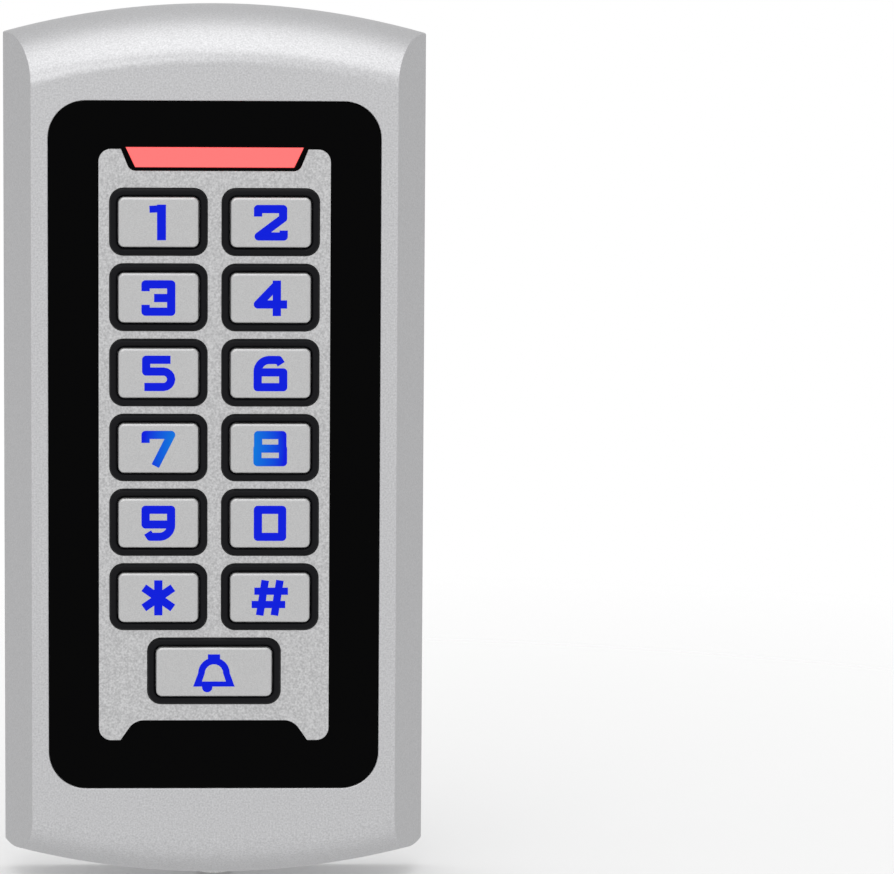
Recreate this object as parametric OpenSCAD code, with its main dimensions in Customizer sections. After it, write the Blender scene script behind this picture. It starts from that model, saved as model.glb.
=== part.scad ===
// Keypad access reader for a wall: a slim cast metal body with a black radio window,
// a silver key plate with thirteen sprung keys, and a steel plate that hangs it on the wall.
// Lengths are millimetres. The origin is the middle of the cable hole, on the wall face.
// Parts are drawn lying on the wall face, X across, Y up the wall, Z away from it,
// and stand() then turns them so that +Z is up and the keys face -Y.

/* [Body] */
// Width at the wall
body_w = 70; // [66:0.5:76]
// Height at the middle
body_h = 145; // [140:0.5:152]
// Distance from the wall to the flat front of the shell
shell_front = 23.5; // [23.2:0.1:25]
// Radius of the curved top and bottom ends
end_radius = 130; // [110:1:180]
// How far each end rolls in towards the front
end_roll = 8.9; // [6:0.1:9.5]
// How far each side slopes in towards the front
side_slope = 5.2; // [3:0.1:5.6]
// Straight part of the sides and ends next to the wall
straight_land = 2.5; // [2.2:0.1:4]
// Thickness of the shell's sides and ends
shell_wall = 2.4; // [2:0.1:2.8]

/* [Black bezel] */
// Width of the black window panel
window_w = 53.8; // [52:0.1:54.4]
// Height of the black window panel
window_h = 112.8; // [110:0.1:114]
// Corner radius of the black window panel
window_r = 6; // [4:0.5:8]
// Height of the panel's middle above the origin
window_up = 1.3; // [0:0.1:1.5]

/* [Key plate] */
// Width of the silver key plate
plate_w = 37.6; // [37.4:0.1:39]
// Height of the silver key plate
plate_h = 97.1; // [97:0.1:99]
// Corner radius of the key plate
plate_r = 2; // [1:0.1:3]
// Height of the key plate's middle above the origin
plate_up = 1.45; // [1.3:0.05:1.6]

/* [Light bar and notch] */
// Width of the light bar along its top edge
bar_top_w = 28.8; // [26:0.1:29.4]
// Width of the light bar along its bottom edge
bar_bottom_w = 25.7; // [24:0.1:27.4]
// Height of the light bar
bar_h = 3.2; // [2.8:0.1:3.4]
// Black gap between the light bar and the key plate
bar_gap = 0.6; // [0.4:0.05:0.8]
// Width of the plate's bottom notch at the edge of the plate
notch_mouth_w = 31; // [28:0.1:32]
// Width of the plate's bottom notch at its inner end
notch_floor_w = 26; // [24:0.1:28]
// Depth of the plate's bottom notch
notch_h = 3.3; // [2.5:0.1:3.5]

/* [Keys] */
// Distance between the two columns of keys
col_pitch = 18.2; // [18:0.1:18.6]
// Distance between rows of keys
row_pitch = 12.3; // [12.2:0.05:12.4]
// Height of the first row above the origin
first_row_up = 38.2; // [38:0.1:38.4]
// Width of a key cap
cap_w = 13.1; // [12.6:0.1:13.2]
// Height of a key cap
cap_h = 8.2; // [7.8:0.1:8.4]
// Width of the bell key's cap
bell_cap_w = 19; // [18:0.1:19.4]
// Width of the black bead round each key, measured across the wall of the bead
bead_w = 1.22; // [1.1:0.02:1.26]
// How far a key travels when it is pressed
key_travel = 0.6; // [0.3:0.05:0.6]

/* [Wall plate] */
// Thickness of the steel wall plate
steel = 1.5; // [1.2:0.1:1.5]
// Radius of the cable hole
cable_r = 5.2; // [4.8:0.1:6]
// Width of the two fixing slots
slot_w = 4.3; // [4:0.1:4.6]
// Length of the two fixing slots
slot_len = 8.1; // [7:0.1:9]
// Height of the upright top slot above the origin
top_slot_up = 51.1; // [49:0.1:53]
// Depth of the level bottom slot below the origin
bottom_slot_down = 55.9; // [54:0.1:57]
// Radius of the light sensor's peep hole
peep_r = 1.85; // [1.5:0.05:2.2]
// Depth of the peep hole below the origin
peep_down = 44.1; // [43:0.1:46]
// Width of the wiring label
label_w = 59.5; // [50:0.5:60]
// Height of the wiring label
label_h = 36; // [30:0.5:36]
// Height of the label's middle above the origin
label_up = 25.6; // [24:0.1:27]

/* [Hidden] */
$fn = 96;
key_names = ["1", "2", "3", "4", "5", "6", "7", "8", "9", "0", "star", "hash", "bell"];
keys = [0:12];
bell = 12;

// levels, measured from the wall
label_recess = 0.15;
gasket_front = steel + 0.6;
cover_back = 5;
cover_front = 6.5;
board_back = 14.4;
board_front = 16;
mat_front = 17.2;
dome_tip = 19.2;
cap_flange_back = dome_tip + key_travel + 0.05;
cap_flange_front = 20.85;
guide_back = 20.9;
bezel_back = 20;
front_wall_back = 21.5;
plate_seat = 22.5;
bezel_face = shell_front - 0.1;
plate_face = shell_front + 0.3;
bead_face = plate_face + 0.6;
cap_face = bead_face + 0.6;

fit = 0.1;            // gap round a piece that drops into another
cut = 1;              // how far a cutting shape runs past the face it opens
roll_steps = 20;      // straight steps in the rolled end
rim = 0.75;           // thin edge of the shell round the steel plate
screw_play = 0.05;    // gap between a screw and its hole

// keys
cap_gap = 0.12;
cap_r = 1;            // corner of a cap, seen from the front
cap_edge_r = 0.5;     // edge of a cap, where the finger rests
cap_flange = 0.7;     // how far the flange behind a cap stands out
bead_r = 2.2;         // outer corner of a bead
dome_r = 2.7;         // hollow inside each silicone dome
legend_depth = 0.3;
glyph_w = 5.5;
glyph_h = 5.8;
stroke = 1.35;
function key_at(i) = i == bell
    ? [0, first_row_up - 6 * row_pitch]
    : [(i % 2 - 0.5) * col_pitch, first_row_up - floor(i / 2) * row_pitch];
function cap_size(i) = [i == bell ? bell_cap_w : cap_w, cap_h];
function grown(size, by) = [size.x + 2 * by, size.y + 2 * by];
function bead_size(i) = grown(cap_size(i), cap_gap + bead_w);

// light bar
bar_up = plate_up + plate_h / 2 - bar_h / 2 + 0.25;
bar_back = 20.1;
bar_flange = 0.5;
bar_flange_front = 21.2;
bar_play = 0.05;
plate_top = plate_up + plate_h / 2;
plate_bottom = plate_up - plate_h / 2;

// opening behind the key plate that the key guide drops into
guide_w = plate_w - 2.8;
guide_top = 44.6;
guide_bottom = -41.8;
guide_mid = (guide_top + guide_bottom) / 2;

// fixings inside
board_post = [21, 46];
board_post_r = 2.2;
board_screw_r = 1;
cover_post = [20, 61.8];
cover_post_r = 2.4;
cover_screw_r = 1.1;
hook_x = 12;
hook_w = 8;
hook_drop = 5.1;      // from the top end down to the hooks
hook_rise = 2.9;      // how far each hook reaches up behind the shell's lip
tab_w = 12;
tab_up = 3.3;         // from the bottom end up to the tab
tab_len = 8.5;
lock_screw_out = 6.5;
lock_screw_r = 1.5;
lock_head_r = 2.7;

// electronics
board_size = [50, 106];
coil_out = -0.4;      // outer edge of the coil, measured from the window's edge
coil_in = -3.4;       // inner edge of the coil, measured from the window's edge
tall_part_back = 7.4;
low_part_back = 8.4;
controller_at = [12, -24];
reader_chip_at = [-12, -26];
relay_at = [-12, 26];
buzzer_at = [13, 27];
capacitor_at = [14, 11];
capacitor_r = 4;
header_at = [0, -10];
header_size = [24, 5];
pin_pitch = 2;

// cover inside the back
cover_size = [body_w - 8, body_h - 13.4];
cover_corner = 8;
eyelet_r = cable_r - 0.6;     // hole in the cover, and the outside of its brass sleeve
eyelet_wall = 0.25;

// ---------- shared shapes ----------

module stand() rotate([90, 0, 0]) children();

// an upright slab of a plan, from one distance out from the wall to another
module slab(from, to) translate([0, 0, from]) linear_extrude(to - from) children();

module round_rect(size, r) {
    square([size.x - 2 * r, size.y], center = true);
    square([size.x, size.y - 2 * r], center = true);
    for (x = [-1, 1], y = [-1, 1])
        translate([x * (size.x / 2 - r), y * (size.y / 2 - r)]) circle(r);
}

// symmetric trapezium, wider or narrower at its top
module trapezium(top, bottom, h)
    polygon([[-bottom / 2, -h / 2], [bottom / 2, -h / 2], [top / 2, h / 2], [-top / 2, h / 2]]);

module four(at) for (x = [-1, 1], y = [-1, 1]) translate([x * at.x, y * at.y, 0]) children();

module at_key(i) translate(key_at(i)) children();

// a screw that points away from the wall, with a cross recess in its head
module wall_side_screw(head_r, head_h, shank_r, shank_len) {
    difference() {
        translate([0, 0, -head_h]) cylinder(r = head_r, h = head_h);
        for (turn = [0, 90]) rotate(turn)
            translate([-head_r * 0.6, -0.25, -head_h - 1]) cube([head_r * 1.2, 0.5, 1.6]);
    }
    cylinder(r = shank_r, h = shank_len);
}

// ---------- body ----------

// the outline at the wall, drawn in all round
module body_plan(inset) intersection() {
    translate([0, body_h / 2 - end_radius]) circle(end_radius - inset);
    translate([0, end_radius - body_h / 2]) circle(end_radius - inset);
    square([body_w - 2 * inset, body_h], center = true);
}

// one end's roll, turned about the middle of its curved outline
module end_roll_disc(inset, top) {
    last = asin((top - straight_land) / (shell_front - straight_land));
    roll = [for (i = [0:roll_steps]) let (a = last * i / roll_steps)
        [end_radius - inset - end_roll * (1 - cos(a)),
         straight_land + (shell_front - straight_land) * sin(a)]];
    translate([0, body_h / 2 - end_radius, 0])
        rotate_extrude($fn = 360) polygon(concat([[0, 0], [end_radius - inset, 0]], roll, [[0, top]]));
}

// the body's solid form up to a level, drawn in all round
module body_form(inset, top) intersection() {
    end_roll_disc(inset, top);
    mirror([0, 1, 0]) end_roll_disc(inset, top);
    half = body_w / 2 - inset;
    slope = side_slope * (top - straight_land) / (shell_front - straight_land);
    translate([0, body_h / 2, 0]) rotate([90, 0, 0]) linear_extrude(body_h)
        polygon([[-half, 0], [half, 0], [half, straight_land], [half - slope, top],
                 [slope - half, top], [-half, straight_land]]);
}

module window_plan(grow)
    translate([0, window_up]) round_rect(grown([window_w, window_h], grow), window_r + grow);

module front_shell() color([0.78, 0.78, 0.8]) stand() difference() {
    union() {
        difference() {
            body_form(0, shell_front);
            body_form(shell_wall, front_wall_back);
        }
        four(cover_post) slab(cover_front, front_wall_back + 0.4) circle(cover_post_r);
    }
    // seat for the gasket and the steel plate
    slab(-cut, gasket_front) body_plan(rim);
    slab(front_wall_back - cut, shell_front + cut) window_plan(fit);
    four(cover_post) slab(cover_front - cut, cover_front + 8) circle(cover_screw_r + screw_play);
    // pockets for the two top hooks
    for (side = [-1, 1])
        translate([side * hook_x - hook_w / 2 - 0.3, body_h / 2 - hook_drop + fit, 3.2])
            cube([hook_w + 0.6, hook_rise + fit, steel + 0.4]);
    // counterbored hole for the security screw
    translate([0, -body_h / 2 - cut, lock_screw_out]) rotate([-90, 0, 0]) {
        cylinder(r = lock_head_r + 0.2, h = 2.4);
        cylinder(r = lock_screw_r + fit, h = 5);
    }
}

// ---------- front panel ----------

// the key plate's outline with its two notches
module plate_plan(grow) {
    bar_floor = bar_up - bar_h / 2 - bar_gap;
    difference() {
        translate([0, plate_up]) round_rect(grown([plate_w, plate_h], grow), plate_r + grow);
        translate([0, (bar_floor + plate_top + 1) / 2 + grow])
            trapezium(bar_top_w + 4 * bar_gap - 2 * grow, bar_bottom_w + 3 * bar_gap - 2 * grow,
                      plate_top + 1 - bar_floor);
        translate([0, plate_bottom + notch_h / 2 - 0.5 - grow])
            trapezium(notch_floor_w - 2 * grow, notch_mouth_w + 1 - 2 * grow, notch_h + 1);
    }
}

module bar_plan(grow) translate([0, bar_up])
    trapezium(bar_top_w + 2 * grow, bar_bottom_w + 2 * grow, bar_h + 2 * grow);

module guide_plan(grow)
    translate([0, guide_mid]) round_rect(grown([guide_w, guide_top - guide_bottom], grow), 1 + grow);

module black_bezel() color([0.03, 0.03, 0.035]) stand() difference() {
    union() {
        slab(bezel_back, front_wall_back) window_plan(1);
        slab(bezel_back, bezel_face) window_plan(0);
        translate([0, window_up, 0]) four(board_post)
            slab(board_front, bezel_back + 0.5) circle(board_post_r);
    }
    slab(bezel_back - cut, shell_front) guide_plan(fit);
    slab(plate_seat, shell_front + cut) plate_plan(fit);
    slab(bezel_back - cut, shell_front + cut) bar_plan(bar_play);
    slab(bezel_back - cut, bar_flange_front) bar_plan(bar_flange + bar_play);
    translate([0, window_up, 0]) four(board_post) slab(board_front - cut, bezel_back)
        circle(board_screw_r + screw_play);
}

module key_plate() color([0.76, 0.76, 0.78]) stand() difference() {
    slab(plate_seat, plate_face) plate_plan(0);
    for (i = keys) slab(plate_seat - cut, plate_face + cut) at_key(i)
        round_rect(grown(bead_size(i), fit), bead_r + fit);
}

module light_bar() color([1, 0.42, 0.4]) stand() {
    slab(bar_back, bezel_face + 0.15) bar_plan(0);
    slab(bar_back, bar_flange_front) bar_plan(bar_flange);
    slab(17.5, bar_back) translate([0, bar_up]) square([bar_bottom_w - 4, bar_h - 1], center = true);
}

module key_guide() color([0.05, 0.05, 0.055]) stand() difference() {
    union() {
        slab(guide_back, plate_seat) guide_plan(0);
        for (i = keys) slab(guide_back, bead_face) at_key(i) round_rect(bead_size(i), bead_r);
    }
    for (i = keys) slab(guide_back - cut, bead_face + cut) at_key(i)
        round_rect(grown(cap_size(i), cap_gap), cap_r + 0.2);
}

// silicone mat with a hollow dome under each key and a pocket over each lamp
module keypad_mat() color([0.85, 0.86, 0.88]) stand() difference() {
    union() {
        slab(board_front, mat_front) guide_plan(-0.2);
        for (i = keys) at_key(i) {
            translate([0, 0, mat_front])
                cylinder(r1 = dome_r + 1.2, r2 = dome_r + 0.3, h = dome_tip - 0.4 - mat_front);
            slab(mat_front, dome_tip) circle(1.6);
        }
    }
    for (i = keys) slab(board_front - cut, dome_tip - 1) at_key(i) circle(dome_r);
    for (at = lamp_places) slab(board_front - cut, board_front + 0.8) translate(at)
        square(grown(lamp_size, 0.5), center = true);
}

// ---------- keys ----------

// side view of a cap: square at the back, rounded where the finger rests
module cap_profile(w, r) {
    h = cap_face - cap_flange_front;
    translate([-w / 2, 0]) square([w, h - r]);
    translate([r - w / 2, 0]) square([w - 2 * r, h]);
    for (side = [-1, 1]) translate([side * (w / 2 - r), h - r]) circle(r);
}

module cap_body(size, r) intersection() {
    linear_extrude(cap_face - cap_flange_front) round_rect(size, cap_r);
    rotate([90, 0, 0]) translate([0, 0, -size.y / 2]) linear_extrude(size.y) cap_profile(size.x, r);
    rotate([90, 0, 90]) translate([0, 0, -size.x / 2]) linear_extrude(size.x) cap_profile(size.y, r);
}

module key(i) color([0.8, 0.8, 0.81]) stand() difference() {
    union() {
        slab(cap_flange_back, cap_flange_front) at_key(i)
            round_rect(grown(cap_size(i), cap_flange), cap_r);
        translate([0, 0, cap_flange_front]) at_key(i) cap_body(cap_size(i), cap_edge_r);
    }
    slab(cap_face - legend_depth, cap_face + cut) at_key(i) glyph(i);
}

module legend(i) color([0.05, 0.12, 0.85]) stand()
    slab(cap_face - legend_depth, cap_face) at_key(i) glyph(i);

// ---------- legends ----------

// half of the width and height of a figure, along the middle of its strokes
mid_x = (glyph_w - stroke) / 2;
mid_y = (glyph_h - stroke) / 2;
half_h = glyph_h / 2;
overlap = 0.2;        // how far a straight stroke runs into a curved one

// a curved stroke, as one polygon, turning left from one angle to the other
module arc_band(middle, r, from, to, w = stroke) {
    turns = [for (i = [0:8]) from + (to - from) * i / 8];
    polygon(concat([for (a = turns) middle + (r + w / 2) * [cos(a), sin(a)]],
                   [for (i = [8:-1:0]) middle + (r - w / 2) * [cos(turns[i]), sin(turns[i])]]));
}

module bar(a, b, w) translate(a) rotate(atan2(b.y - a.y, b.x - a.x))
    translate([0, -w / 2]) square([norm(b - a), w]);

// a stroke along some points, with square ends and round corners
module trace(points, w = stroke, closed = false) {
    n = len(points);
    for (i = [0:n - (closed ? 1 : 2)]) bar(points[i], points[(i + 1) % n], w);
    for (i = [closed ? 0 : 1:closed ? n - 1 : n - 2]) translate(points[i]) circle(w / 2, $fn = 48);
}

function box_loop(x, low, high) = [[-x, low], [x, low], [x, high], [-x, high]];

module figure_one() {
    trace([[0.5, half_h], [0.5, -half_h]], 1.45);
    trace([[-1.45, mid_y - 0.1], [0.5, mid_y]], 1.15);
}

module figure_two() trace([[-mid_x, 1], [-mid_x, mid_y], [mid_x - 0.1, mid_y], [mid_x - 0.1, 0.75],
    [0.1 - mid_x, -mid_y], [mid_x, -mid_y], [mid_x, -1.25]]);

module figure_three() {
    trace([[-mid_x, 1.1], [-mid_x, mid_y], [mid_x, mid_y],
        [mid_x, -mid_y], [-mid_x, -mid_y], [-mid_x, -1.1]]);
    trace([[-0.7, 0], [mid_x, 0]]);
}

module figure_four() {
    trace([[1, half_h], [1, -half_h]]);
    trace([[1, mid_y], [-mid_x, -1], [mid_x + 0.6, -1]]);
}

module figure_five() {
    bowl_r = (mid_y + 0.3) / 2;
    bowl_x = mid_x - bowl_r;
    trace([[mid_x - 0.1, mid_y], [0.1 - mid_x, mid_y], [0.1 - mid_x, 0.3], [bowl_x + overlap, 0.3]]);
    arc_band([bowl_x, 0.3 - bowl_r], bowl_r, -90, 90);
    bar([-mid_x - 0.2, -mid_y], [bowl_x + overlap, -mid_y], stroke);
}

module figure_six() {
    sweep_r = 1.9;
    trace(box_loop(mid_x, -mid_y, 0.2), closed = true);
    bar([-mid_x, -1], [-mid_x, mid_y - sweep_r + overlap], stroke);
    arc_band([sweep_r - mid_x, mid_y - sweep_r], sweep_r, 90, 180);
    trace([[sweep_r - mid_x - overlap, mid_y], [1.3, mid_y], [1.75, mid_y - 0.7]]);
}

module figure_seven() trace([[-mid_x, 0.9], [-mid_x, mid_y], [mid_x, mid_y], [-0.5, -half_h]]);

module figure_eight() {
    trace(box_loop(mid_x - 0.1, 0, mid_y), closed = true);
    trace(box_loop(mid_x, -mid_y, 0), closed = true);
}

module star() for (turn = [0, 55, -55]) rotate(turn) square([stroke, glyph_h], center = true);

module hash() {
    lean = 0.45;
    for (x = [-1.2, 1.2]) trace([[x - lean, -half_h], [x + lean, half_h]], 1.25);
    for (y = [-1.1, 1.1]) trace([[y / 5 - glyph_w / 2, y], [y / 5 + glyph_w / 2, y]], 1.2);
}

// a dome with straight flared sides down to a level rim
function bell_points(dome, half_rim, rim_y) = concat(
    [for (a = [0:15:180]) [0, -0.2] + dome * [cos(a), sin(a)]],
    [[-half_rim, rim_y], [half_rim, rim_y]]);

module bell_outline() {
    difference() {
        polygon(bell_points(2.6, 3.4, -2.4));
        polygon(bell_points(1.5, 1.95, -1.55));
    }
    translate([0, 2.55]) square([2, 0.8], center = true);
    translate([-1.1, -2.5]) circle(0.85);
}

module glyph(i) {
    if (i == 0) figure_one();
    if (i == 1) figure_two();
    if (i == 2) figure_three();
    if (i == 3) figure_four();
    if (i == 4) figure_five();
    if (i == 5) figure_six();
    if (i == 6) figure_seven();
    if (i == 7) figure_eight();
    if (i == 8) rotate(180) figure_six();
    if (i == 9) trace(box_loop(mid_x - 0.1, -mid_y, mid_y), closed = true);
    if (i == 10) star();
    if (i == 11) hash();
    if (i == bell) bell_outline();
}

// ---------- electronics ----------

// one lamp between the two keys of each row and one each side of the bell
lamp_size = [1.6, 0.8];
lamp_places = concat([for (row = [0:5]) [0, first_row_up - row * row_pitch]],
                     [for (side = [-1, 1]) [side * 7, key_at(bell).y]]);
status_places = [for (i = [-1:1]) [i * 7, bar_up]];

// a chip on the back of the board with legs along two or four sides
module chip(size, thick, legs, four_sides) {
    translate([-size.x / 2, -size.y / 2, board_back - thick]) cube([size.x, size.y, thick - 0.1]);
    for (turn = four_sides ? [0, 90, 180, 270] : [0, 180]) rotate(turn) for (i = [0:legs - 1]) {
        reach = turn % 180 == 0 ? size.y : size.x;
        run = turn % 180 == 0 ? size.x : size.y;
        translate([(i - (legs - 1) / 2) * (run - 1) / legs - 0.15, reach / 2, board_back - 0.5])
            cube([0.3, 0.9, 0.5]);
    }
}

module antenna_coil() color([0.72, 0.42, 0.2]) stand() slab(18.4, bezel_back) difference() {
    window_plan(coil_out);
    window_plan(coil_in);
}

module circuit_board() color([0.05, 0.3, 0.15]) stand() slab(board_back, board_front) difference() {
    translate([0, window_up]) round_rect(board_size, 3);
    translate([0, window_up]) four(board_post) circle(board_screw_r + 0.2);
}

module key_contacts() color([0.2, 0.2, 0.2]) stand()
    for (i = keys) slab(board_front, board_front + 0.1) at_key(i) circle(2.3);

module backlight_leds() color([0.8, 0.85, 1]) stand()
    for (at = lamp_places) slab(board_front, board_front + 0.5)
        translate(at) square(lamp_size, center = true);

module status_leds() color([1, 0.95, 0.9]) stand()
    for (at = status_places) slab(board_front, board_front + 1.2)
        translate(at) square([3, 2], center = true);

module microcontroller() color([0.1, 0.1, 0.11]) stand()
    translate(controller_at) chip([7, 7], 1.5, 8, true);

module reader_chip() color([0.1, 0.1, 0.11]) stand()
    translate(reader_chip_at) chip([10, 4], 1.6, 8, false);

module relay() color([0.1, 0.25, 0.6]) stand()
    translate(relay_at) slab(tall_part_back, board_back) round_rect([19, 15], 0.5);

module buzzer() color([0.08, 0.08, 0.08]) stand() translate(buzzer_at) difference() {
    slab(low_part_back, board_back) circle(6);
    slab(low_part_back - cut, low_part_back + 1.2) circle(1);
}

module capacitor() color([0.7, 0.72, 0.75]) stand() translate(capacitor_at) {
    slab(board_back - 1, board_back) square(2 * capacitor_r + 0.3, center = true);
    slab(tall_part_back, board_back - 1) circle(capacitor_r);
}

module wire_header() color([0.9, 0.88, 0.8]) stand() translate(header_at) difference() {
    slab(low_part_back, board_back) square(header_size, center = true);
    slab(low_part_back - cut, board_back - 1.5) square(grown(header_size, -0.8), center = true);
}

module header_pins() color([0.85, 0.7, 0.35]) stand() translate(header_at)
    for (i = [0:9]) slab(low_part_back + 1.2, board_back - 1.5)
        translate([(i - 4.5) * pin_pitch, 0]) square(0.5, center = true);

// light cell on long legs, close behind the peep hole
module tamper_sensor() color([0.9, 0.6, 0.35]) stand() translate([0, -peep_down, 0]) {
    slab(7, 9) circle(2.5);
    for (side = [-1, 1]) slab(9, board_back) translate([side * 1.3, 0]) circle(0.3);
}

module board_screws() color([0.75, 0.75, 0.75]) stand() translate([0, window_up, board_back])
    four(board_post) wall_side_screw(2, 1.4, board_screw_r, 5);

// ---------- back ----------

module inner_cover() color([0.08, 0.08, 0.085]) stand() slab(cover_back, cover_front) difference() {
    round_rect(cover_size, cover_corner);
    circle(eyelet_r);
    translate([0, -peep_down]) circle(peep_r + 0.15);
    four(cover_post) circle(cover_screw_r + 0.2);
}

// thin brass sleeve that keeps the cover's edge off the cable
module cable_eyelet() color([0.8, 0.62, 0.25]) stand()
    slab(cover_back, cover_front) difference() {
        circle(eyelet_r);
        circle(eyelet_r - eyelet_wall);
    }

module cover_screws() color([0.7, 0.7, 0.7]) stand() translate([0, 0, cover_back])
    four(cover_post) wall_side_screw(2, 1.4, cover_screw_r, 7);

module rear_gasket() color([0.1, 0.1, 0.1]) stand() slab(steel, gasket_front) difference() {
    body_plan(rim + 0.2);
    body_plan(shell_wall);
}

module slot_plan(len) {
    square([len - slot_w, slot_w], center = true);
    for (side = [-1, 1]) translate([side * (len - slot_w) / 2, 0]) circle(slot_w / 2);
}

module label_plan(grow) translate([0, label_up]) round_rect(grown([label_w, label_h], grow), 1.5 + grow);

module back_plate() color([0.72, 0.73, 0.75]) stand() difference() {
    union() {
        slab(0, steel) body_plan(rim + fit);
        // two hooks that catch in the shell's top wall
        for (side = [-1, 1]) translate([side * hook_x - hook_w / 2, body_h / 2 - hook_drop, 0]) {
            translate([0, 0, steel - 0.5]) cube([hook_w, steel, 3.9]);
            translate([0, 0, 3.4]) cube([hook_w, hook_rise, steel]);
        }
        // bottom tab that the security screw bites into
        translate([-tab_w / 2, tab_up - body_h / 2, steel - 0.5]) cube([tab_w, steel, tab_len]);
    }
    slab(-cut, steel + cut) circle(cable_r);
    slab(-cut, steel + cut) translate([0, top_slot_up]) rotate(90) slot_plan(slot_len);
    slab(-cut, steel + cut) translate([0, -bottom_slot_down]) slot_plan(slot_len);
    slab(-cut, steel + cut) translate([0, -peep_down]) circle(peep_r);
    slab(-cut, label_recess) label_plan(fit);
    translate([0, -body_h / 2, lock_screw_out]) rotate([-90, 0, 0]) cylinder(r = lock_screw_r, h = 6);
}

module rear_label() color([0.8, 0.84, 0.87]) stand() slab(0.02, label_recess) label_plan(0);

// round-headed security screw with a six-sided recess, upright in the bottom wall
module security_screw() color([0.6, 0.6, 0.62]) stand()
    translate([0, -body_h / 2 + 1.4, lock_screw_out]) rotate([-90, 0, 0]) {
        difference() {
            translate([0, 0, -1.3]) cylinder(r = lock_head_r, h = 1.3);
            translate([0, 0, -2.3]) cylinder(r = 1.2, h = 1.7, $fn = 6);
        }
        cylinder(r = lock_screw_r - screw_play, h = 4.4);
    }

// ---------- the assembly ----------

front_shell();
black_bezel();
key_plate();
light_bar();
key_guide();
keypad_mat();
for (i = keys) {
    key(i);
    legend(i);
}
antenna_coil();
circuit_board();
key_contacts();
backlight_leds();
status_leds();
microcontroller();
reader_chip();
relay();
buzzer();
capacitor();
wire_header();
header_pins();
tamper_sensor();
board_screws();
inner_cover();
cable_eyelet();
cover_screws();
rear_gasket();
back_plate();
rear_label();
security_screw();
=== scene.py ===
# %% [markdown]
# A keypad access reader, finished
# The reader is a slim cast metal box that hangs on a wall. Its front has a black radio
# window, a silver key plate and thirteen sprung keys; a steel plate closes its back.
# The working model comes in first as a fixed frame. Every piece below is then built around
# that frame, so nothing has to be fitted afterwards.

# %% Load the frame
import math
import bmesh
import bpy
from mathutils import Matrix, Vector


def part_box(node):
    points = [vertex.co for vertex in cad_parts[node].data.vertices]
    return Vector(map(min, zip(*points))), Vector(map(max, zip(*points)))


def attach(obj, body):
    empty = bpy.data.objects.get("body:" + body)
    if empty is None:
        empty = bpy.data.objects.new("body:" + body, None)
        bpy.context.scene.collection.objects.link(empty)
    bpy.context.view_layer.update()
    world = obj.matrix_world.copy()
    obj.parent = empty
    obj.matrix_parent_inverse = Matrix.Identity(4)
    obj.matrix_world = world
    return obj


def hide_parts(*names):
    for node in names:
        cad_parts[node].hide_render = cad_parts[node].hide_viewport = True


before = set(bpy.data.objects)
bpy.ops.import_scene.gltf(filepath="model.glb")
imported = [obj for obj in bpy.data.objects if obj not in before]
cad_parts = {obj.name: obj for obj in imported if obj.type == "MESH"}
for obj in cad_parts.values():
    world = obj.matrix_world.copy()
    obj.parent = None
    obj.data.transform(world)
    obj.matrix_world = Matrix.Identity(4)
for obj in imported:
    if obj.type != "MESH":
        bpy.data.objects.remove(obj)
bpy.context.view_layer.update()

MM = 0.001

# %% [markdown]
# ## Reading sizes from the frame
# A level is a distance out from the wall. The wall is at y = 0 and the keys face -y, so a
# level in millimetres is -1000 y. Reading the levels from the frame keeps the new pieces
# exactly where the working parts are.

# %% Sizes and levels
def level_of(node, side):
    """How far from the wall a node starts (side 0) or ends (side 1), in millimetres."""
    low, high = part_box(node)
    return (-high.y if side == 0 else -low.y) / MM


def span_of(node):
    """Width, height and middle height of a node, in millimetres."""
    low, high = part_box(node)
    return (high.x - low.x) / MM, (high.z - low.z) / MM, (high.z + low.z) / 2 / MM


body_w, body_h, _ = span_of("front_shell")
shell_front = level_of("front_shell", 1)
bezel_back, bezel_face = level_of("black_bezel", 0), level_of("black_bezel", 1)
plate_seat, plate_face = level_of("key_plate", 0), level_of("key_plate", 1)
bead_back, bead_face = level_of("key_guide", 0), level_of("key_guide", 1)
cap_back, cap_face = level_of("key_1", 0), level_of("key_1", 1)
plate_w, plate_h, plate_up = span_of("key_plate")
print(f"body {body_w:.1f} x {body_h:.1f}, front {shell_front:.1f}, caps {cap_face:.1f}")

# %% [markdown]
# ## A few habits as helpers
# Operators act on whatever is selected, so each new piece starts with nothing selected.
# A rounded slab is the form that this product repeats most. It is a plane with its corners
# rounded by a vertex bevel, which gives true arcs, and then extruded back towards the wall.

# %% Starting and finishing a piece
def deselect():
    bpy.ops.object.select_all(action="DESELECT")


def make_active(piece):
    deselect()
    piece.select_set(True)
    bpy.context.view_layer.objects.active = piece


def name_piece(piece, name):
    piece.name = name
    piece.data.name = name
    return piece


def choose(piece, test, kind="VERT"):
    """In edit mode, selects the corners, edges or faces whose middle passes a test."""
    bpy.ops.mesh.select_mode(type=kind)
    bpy.ops.mesh.select_all(action="DESELECT")
    mesh = bmesh.from_edit_mesh(piece.data)
    for part in {"VERT": mesh.verts, "EDGE": mesh.edges, "FACE": mesh.faces}[kind]:
        corners = [part] if kind == "VERT" else part.verts
        middle = sum((corner.co for corner in corners), Vector()) / len(corners)
        if test(middle / MM):
            part.select_set(True)
    bmesh.update_edit_mesh(piece.data)


def apply_modifier(piece, kind, **settings):
    make_active(piece)
    modifier = piece.modifiers.new(kind.lower(), kind)
    for setting, value in settings.items():
        setattr(modifier, setting, value)
    bpy.ops.object.modifier_apply(modifier=modifier.name)


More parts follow.
